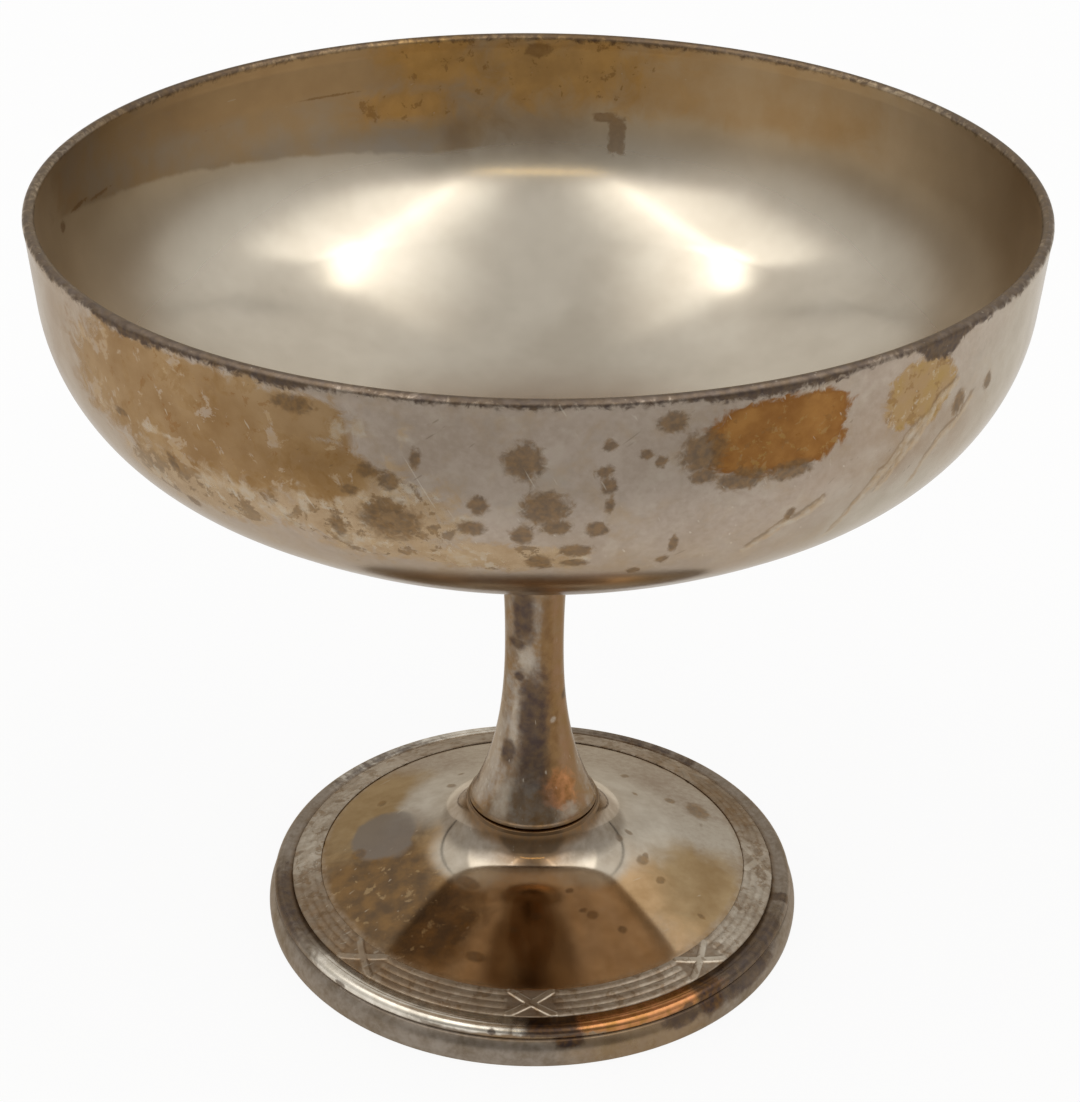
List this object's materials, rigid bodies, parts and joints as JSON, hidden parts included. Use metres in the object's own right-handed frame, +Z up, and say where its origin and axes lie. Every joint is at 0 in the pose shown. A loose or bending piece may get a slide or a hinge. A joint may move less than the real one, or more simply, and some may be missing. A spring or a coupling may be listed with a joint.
{
  "type": "footed dessert bowl",
  "caption": "Footed dessert bowl in worn silver plate: a shallow spun bowl on a trumpet stem, above a round foot with a reed-and-ribbon border.",
  "frame": {"origin": "middle of the ring that the foot stands on, in its plane", "axes": "+Z up along the axis of the bowl and stem; -Y towards the viewer in the picture"},
  "size_m": [0.096, 0.096, 0.083],
  "materials": {
    "bowl_plate": "worn and tarnished silver plate over brass, bright with brown patches",
    "stem_plate": "worn silver plate, mottled, copper showing on one side",
    "foot_plate": "polished silver plate with a golden brown tarnish",
    "border_plate": "dull silver plate, darkened between the reeds",
    "rim_plate": "worn silver plate with dark tarnish and bare metal on the bead",
    "fastening_brass": "plain aged brass"
  },
  "bodies": {
    "root": {"bowl_shell": "bowl_plate", "bowl_seat": "fastening_brass", "stem": "stem_plate", "tie_stud": "fastening_brass", "foot_plate": "foot_plate", "reed_border": "border_plate", "foot_rim": "rim_plate", "clamp_washer": "fastening_brass", "clamp_nut": "fastening_brass"}
  },
  "joints": []
}
